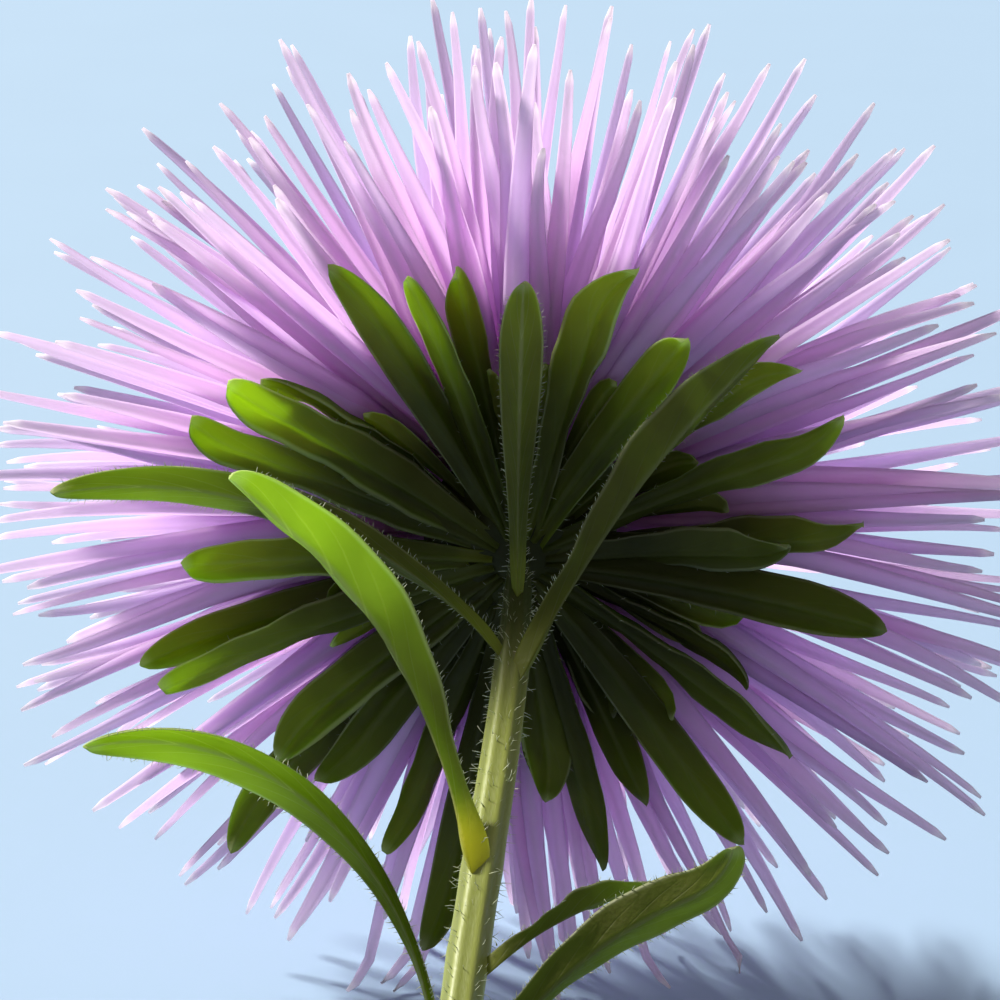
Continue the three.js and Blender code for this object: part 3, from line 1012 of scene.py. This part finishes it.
class StemBuilder(bpy.types.Operator):
    """Build the ribbed stem with its leaf scars and cut end"""

    bl_idname = "aster.stem"
    bl_label = "Stem"

    def execute(self, context):
        s = sizes()
        bm = bmesh.new()
        scars = [leaf["below"] for leaf in LEAVES.values()]

        def place(along, across, over):
            distance = s.stem_length * (1 - along)
            here = stem_at(s, distance)
            angle = math.atan2(over, -across)
            knot = SCAR_HEIGHT * sum(math.exp(-(((distance - scar) / SCAR_LENGTH) ** 2)) for scar in scars)
            offset = RIGHT * math.cos(angle) + here.top * math.sin(angle)
            if along > 0.999:
                here.point += FACE * INTO_CUP
            return on_floor(here.point + offset * (stem_radius(s, distance, angle) + knot))

        sweep(bm, 6 * STEM_RIBS, 90, place, 0.0, towards_tip(1.2))
        strap = bm.verts.layers.float_vector["strap"]
        for v in bm.verts:
            here = stem_at(s, s.stem_length * (1 - v[strap].y))
            away = v.co - here.point
            v[strap].x = math.sin(STEM_RIBS * math.atan2(away.dot(here.top), away.x))
        cut = min(bm.faces, key=lambda face: face.calc_center_median().y)
        bmesh.ops.inset_region(bm, faces=[cut], thickness=0.5, depth=-0.12)
        for v in cut.verts:
            v[strap] = Vector((0.0, 0.0, 1.0))
        piece(bm, "stem_skin", stem_material(), ["stem"])
        return {"FINISHED"}


class BractBuilder(bpy.types.Operator):
    """Build the green cup with its long and short bracts"""

    bl_idname = "aster.bracts"
    bl_label = "Bracts"

    def execute(self, context):
        s, bracts, _ = plan()
        bm = bmesh.new()
        for bract in bracts:
            grow_blade(bm, bract, 16)
        profile = [
            (0.4, GAP),
            (s.peduncle_radius, GAP),
            (0.5 * s.cup_radius, 0.12 * RING_DEPTH),
            (0.76 * s.cup_radius, 0.4 * RING_DEPTH),
            (0.94 * s.cup_radius, 0.7 * RING_DEPTH),
            (s.cup_radius, s.cup_top),
            (0.4, s.cup_top),
        ]
        turned_shape(bm, s, profile, 32, Vector((0.5, 0.2, 0.0)))
        piece(bm, "bract_ruff", bract_green(), ["involucre"])
        return {"FINISHED"}


class RayBuilder(bpy.types.Operator):
    """Build every ray floret and the core that they grow from"""

    bl_idname = "aster.rays"
    bl_label = "Ray Florets"

    def execute(self, context):
        s, _, rays = plan()
        bm = bmesh.new()
        chance = Draw(SEED + 2)
        rays += [self.between_ray(s, i, chance) for i in range(BETWEEN_RAYS)]
        rays += [self.inner_ray(s, i, chance) for i in range(INNER_RAYS)]
        for ray in rays:
            ray.chord = 0.82 * ray.width
            ray.fold = 46 + 14 * chance()
            ray.roll += 36 * chance()
            ray.arch += 8 * chance()
            ray.turn += 7 * chance()
            ray.sway = 1.5 * chance() * (1 - 0.5 * ray.rank)
            grow_ray(bm, s, ray, clamp01(0.25 + 0.6 * ray.rank + 0.25 * chance()))
        low, high = s.cup_top + GAP, s.core_top
        profile = [
            (0.4, low),
            (s.core_radius - 0.8, low),
            (s.core_radius, low + 0.9),
            (0.97 * s.core_radius, mix(s.cup_top, high, 0.3)),
            (0.84 * s.core_radius, mix(s.cup_top, high, 0.65)),
            (0.66 * s.core_radius, mix(s.cup_top, high, 0.88)),
            (0.52 * s.core_radius, high),
            (0.4, high),
        ]
        turned_shape(bm, s, profile, 32, Vector())
        piece(bm, "ray_petals", ray_material(), ["ray_florets"])
        return {"FINISHED"}

    def between_ray(self, s, index, draw):
        """A ray floret between those of the plan, in the outer rows, and a little shorter."""
        ray = ray_shape(s, (index + 0.5) * 0.62 * s.ray_count / BETWEEN_RAYS, draw)
        ray.angle = (index + 0.5) * GOLDEN_ANGLE + 5 * draw()
        ray.reach *= 0.92 + 0.05 * draw()
        return ray

    def inner_ray(self, s, index, draw):
        """A short ray floret beside the disc, half upright."""
        return SimpleNamespace(
            angle=(index + 0.4 * draw()) * 360 / INNER_RAYS,
            lift=74 + 8 * draw(),
            foot=60 + 3 * draw(),
            reach=s.core_radius + 14 + 6 * draw(),
            arch=6 + 8 * draw(),
            turn=9 * draw(),
            roll=30 * draw(),
            width=0.72 * s.ray_width,
            rank=1,
        )


class DiscBuilder(bpy.types.Operator):
    """Build the yellow disc of small tube florets"""

    bl_idname = "aster.disc"
    bl_label = "Disc Florets"

    def execute(self, context):
        s = sizes()
        bm = bmesh.new()
        draw = Draw(SEED + 5)
        low = s.core_top + GAP
        radius = s.disc_radius
        plate = [
            (0.3, low),
            (radius, low),
            (0.92 * radius, low + 0.9),
            (0.5 * radius, low + 1.5),
            (0.3, low + 1.6),
        ]
        turned_shape(bm, s, plate, 24, Vector())
        for i in range(DISC_FLORETS):
            spread = math.sqrt((i + 0.5) / DISC_FLORETS)
            self.floret(bm, s, i * GOLDEN_ANGLE, spread, 3.3 - 0.5 * spread + 0.35 * draw(), draw)
        piece(bm, "disc_tubes", disc_material(), ["disc_florets"])
        return {"FINISHED"}

    def floret(self, bm, s, angle, spread, height, draw):
        """A narrow tube that opens into a five-pointed mouth."""
        out = around(-angle)
        low = s.core_top + GAP + mix(0.9, 0.2, spread)
        root = bloom_base(s) + FACE * low + out * (0.94 * s.disc_radius * spread)
        straight, aside = turned(34 * spread**2 + 5 * draw())
        rise = FACE * straight + out * aside
        side = out.cross(rise).normalized()
        ahead = rise.cross(side)
        size = 1 + 0.15 * draw()
        mouth = 3

        def place(along, across, over):
            ring = round(along * 4)
            lobe = math.cos(5 * math.atan2(over, across)) if ring == mouth else 0
            width = size * FLORET_WIDTHS[ring] * (1 + 0.22 * lobe)
            tall = height * (FLORET_HEIGHTS[ring] + 0.07 * lobe)
            return root + rise * tall + (side * across + ahead * over) * width

        sweep(bm, 10, 4, place, spread)


class LeafBuilder(bpy.types.Operator):
    """Build the stem leaves"""

    bl_idname = "aster.leaves"
    bl_label = "Leaves"

    def execute(self, context):
        s = sizes()
        material = leaf_green()
        for name in LEAVES:
            bm = bmesh.new()
            grow_blade(bm, leaf_plan(s, name), 20)
            piece(bm, name + "_blade", material, [name])
        return {"FINISHED"}


class HairBuilder(bpy.types.Operator):
    """Build the white hairs of the stem and of the blades' edges"""

    bl_idname = "aster.hairs"
    bl_label = "Hairs"

    def execute(self, context):
        s, bracts, _ = plan()
        draw = Draw(SEED + 4)
        hair = hair_shape(HAIR_RADIUS)
        bristle = hair_shape(BRISTLE_RADIUS)
        material = hair_material()
        bm = bmesh.new()
        self.stem_hairs(bm, hair, s, draw)
        piece(bm, "stem_hairs", material)
        bm = bmesh.new()
        for name in LEAVES:
            self.edge_hairs(bm, bristle, s, leaf_plan(s, name), draw, LEAF_HAIRS_PER_MM)
        for bract in bracts[: len(LONG_BRACTS)]:
            self.edge_hairs(bm, hair, s, bract, draw, BRACT_HAIRS_PER_MM)
        piece(bm, "edge_hairs", material)
        bpy.data.meshes.remove(hair)
        bpy.data.meshes.remove(bristle)
        return {"FINISHED"}

    def stem_hairs(self, bm, hair, s, draw):
        """Sparse curling hairs all round the stem."""
        for _ in range(STEM_HAIRS):
            distance = s.stem_length * (0.5 + 0.5 * draw()) ** 1.2
            angle = math.pi * draw()
            here = stem_at(s, distance)
            out = RIGHT * math.cos(angle) + here.top * math.sin(angle)
            root = here.point + out * stem_radius(s, distance, angle)
            lean = out + here.face * (0.5 * draw()) + out.cross(here.face) * (0.4 * draw())
            length = s.hair_length * (1 + 0.5 * draw())
            twist = math.pi * draw()
            if root.z > 1.5:
                grow_hair(bm, hair, root, lean.normalized(), length, twist)

    def edge_hairs(self, bm, hair, s, blade, draw, per_mm):
        """A fringe of short hairs along both edges of a blade, longest at its foot."""
        spine = blade_spine(blade)
        count = int(blade.length * per_mm)
        for i in range(count):
            for edge in (-1, 1):
                along = clamp01((i + 0.5 + 0.5 * draw()) / count * 0.97)
                here = at(spine, along)
                ahead = at(spine, min(1.0, along + 0.02)).point - here.point
                root = blade_point(blade, spine, along, edge)
                lean = here.side * edge + ahead.normalized() * (0.5 + 0.4 * draw())
                lean += here.normal * (0.5 * draw())
                length = s.hair_length * mix(0.65, 0.5, along) * (1 + 0.35 * draw())
                twist = math.pi * draw()
                if root.z > 0.5:
                    grow_hair(bm, hair, root, lean.normalized(), length, twist)


class StageBuilder(bpy.types.Operator):
    """Build the pale floor, the soft lights and the camera"""

    bl_idname = "aster.stage"
    bl_label = "Stage"

    def execute(self, context):
        ring = bloom_place() @ Vector((0, 0, sizes().ring_height))
        self.floor(context)
        self.key_light(context)
        self.fill_light(context, ring)
        self.room(context)
        self.camera(context, ring)
        context.scene.view_settings.view_transform = "Standard"
        return {"FINISHED"}

    def set_up(self, context, name, data):
        """Puts a thing of the stage in the scene."""
        made = bpy.data.objects.new(name, data)
        context.scene.collection.objects.link(made)
        return made

    def floor(self, context):
        bm = bmesh.new()
        bmesh.ops.create_circle(bm, cap_ends=True, segments=64, radius=FLOOR_RADIUS)
        mesh = finished("floor", bm)
        mesh.materials.append(floor_material())
        self.set_up(context, "floor", mesh)

    def key_light(self, context):
        """The main light comes from behind the bloom, high on its left, and shines through the petals."""
        lamp = bpy.data.lights.new("key_light", "SUN")
        lamp.angle = math.radians(KEY_SPREAD)
        lamp.energy = KEY_POWER
        lamp.color = KEY_COLOUR
        made = self.set_up(context, "key_light", lamp)
        made.rotation_euler = KEY_FROM.normalized().to_track_quat("Z", "Y").to_euler()

    def fill_light(self, context, target):
        """A weak wide light from the camera's side, which softens the shadows."""
        lamp = bpy.data.lights.new("fill_light", "AREA")
        lamp.shape = "DISK"
        lamp.size = FILL_SIZE
        lamp.energy = FILL_POWER
        lamp.color = FILL_COLOUR
        away = FILL_FROM.normalized()
        made = self.set_up(context, "fill_light", lamp)
        made.location = target + away * FILL_DISTANCE
        made.rotation_euler = away.to_track_quat("Z", "Y").to_euler()

    def room(self, context):
        world = bpy.data.worlds.new("pale_room")
        world.use_nodes = True
        background = world.node_tree.nodes["Background"]
        background.inputs["Color"].default_value = ROOM_COLOUR
        background.inputs["Strength"].default_value = ROOM_POWER
        context.scene.world = world

    def camera(self, context, ring):
        """The photograph's view: from behind the bloom and over the stem, which lies down."""
        sideways, inwards = turned(VIEW_TURN)
        level, down = turned(VIEW_HEIGHT)
        ahead = Vector((-inwards * level, sideways * level, -down))
        right = Vector((sideways, inwards, 0))
        up = right.cross(ahead)
        middle = PICTURE_SIZE / 2
        aim = ring - right * ((RING_IN_PICTURE[0] - middle) * VIEW_SCALE * MM)
        aim += up * ((RING_IN_PICTURE[1] - middle) * VIEW_SCALE * MM)
        lens = bpy.data.cameras.new("camera")
        lens.sensor_width = SENSOR
        lens.lens = SENSOR * VIEW_DISTANCE / (VIEW_SCALE * PICTURE_SIZE)
        lens.clip_start = 0.01
        made = self.set_up(context, "camera", lens)
        turn = Matrix((right, up, -ahead)).transposed()
        made.matrix_world = Matrix.Translation(aim - ahead * (VIEW_DISTANCE * MM)) @ turn.to_4x4()
        context.scene.camera = made


class AsterPanel(bpy.types.Panel):
    """The flower's pieces, sizes and colours"""

    bl_idname = "VIEW3D_PT_aster"
    bl_label = "China Aster"
    bl_space_type = "VIEW_3D"
    bl_region_type = "UI"
    bl_category = "Aster"

    def draw(self, context):
        for builder in BUILDERS:
            self.layout.operator(builder.bl_idname)
        for group_name in ("aster_sizes", "aster_colours"):
            values = getattr(context.scene, group_name)
            for name in values.bl_rna.properties.keys():
                if name not in ("rna_type", "name"):
                    self.layout.prop(values, name)


BUILDERS = (StemBuilder, BractBuilder, RayBuilder, DiscBuilder, LeafBuilder, HairBuilder, StageBuilder)
CLASSES = (AsterSizes, AsterColours, *BUILDERS, AsterPanel)


def register():
    for item in CLASSES:
        bpy.utils.register_class(item)
    bpy.types.Scene.aster_sizes = bpy.props.PointerProperty(type=AsterSizes)
    bpy.types.Scene.aster_colours = bpy.props.PointerProperty(type=AsterColours)


def unregister():
    del bpy.types.Scene.aster_colours
    del bpy.types.Scene.aster_sizes
    for item in reversed(CLASSES):
        bpy.utils.unregister_class(item)


def main():
    register()
    bpy.ops.aster.stem()
    bpy.ops.aster.bracts()
    bpy.ops.aster.rays()
    bpy.ops.aster.disc()
    bpy.ops.aster.leaves()
    bpy.ops.aster.hairs()
    bpy.ops.aster.stage()


if __name__ == "__main__":
    main()
